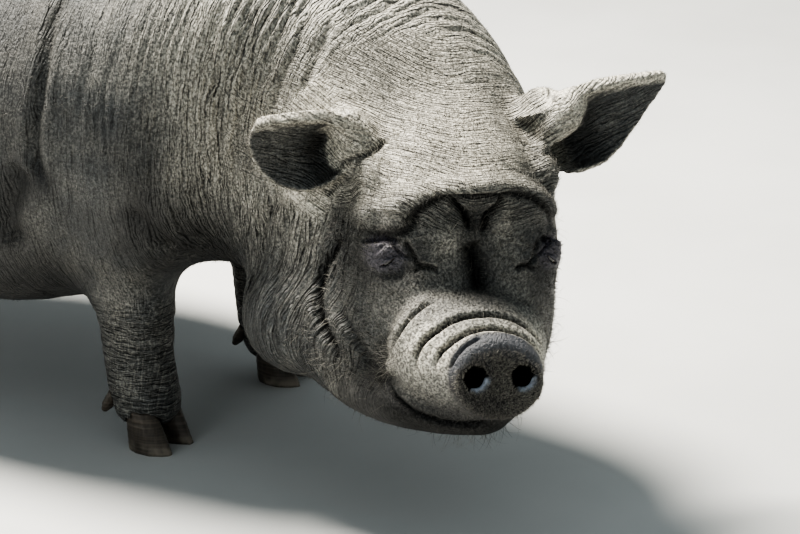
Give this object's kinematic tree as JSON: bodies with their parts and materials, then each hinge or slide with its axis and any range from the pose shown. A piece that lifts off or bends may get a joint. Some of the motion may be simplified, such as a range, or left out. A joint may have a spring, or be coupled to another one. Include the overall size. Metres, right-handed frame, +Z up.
{
  "type": "pot-bellied pig",
  "caption": "Life-size standing model of an adult black pot-bellied pig with deeply wrinkled skin, low belly, lowered head turned to its right and straight tail.",
  "frame": {"origin": "on the floor under the middle of the animal's bounding box", "axes": "+Z up, -Y where the trunk points (towards the head), +X the pig's left"},
  "size_m": [0.4272, 1.1112, 0.4988],
  "materials": {
    "skin": "dry wrinkled grey-black hide with sparse bristles",
    "nose": "smooth dark moist snout disc",
    "horn": "dull dark horn",
    "eye": "wet dark brown eye"
  },
  "bodies": {
    "root": {"claw_back_left_inner": "horn", "claw_back_left_outer": "horn", "claw_back_right_inner": "horn", "claw_back_right_outer": "horn", "claw_front_left_inner": "horn", "claw_front_left_outer": "horn", "claw_front_right_inner": "horn", "claw_front_right_outer": "horn", "dewclaw_back_left_inner": "horn", "dewclaw_back_left_outer": "horn", "dewclaw_back_right_inner": "horn", "dewclaw_back_right_outer": "horn", "dewclaw_front_left_inner": "horn", "dewclaw_front_left_outer": "horn", "dewclaw_front_right_inner": "horn", "dewclaw_front_right_outer": "horn", "ear_left": "skin", "ear_right": "skin", "eye_left": "eye", "eye_right": "eye", "foreleg_left": "skin", "foreleg_right": "skin", "head": "skin", "hindleg_left": "skin", "hindleg_right": "skin", "jaw": "skin", "neck": "skin", "nose_disc": "nose", "snout": "skin", "tail": "skin", "trunk": "skin"}
  },
  "joints": []
}
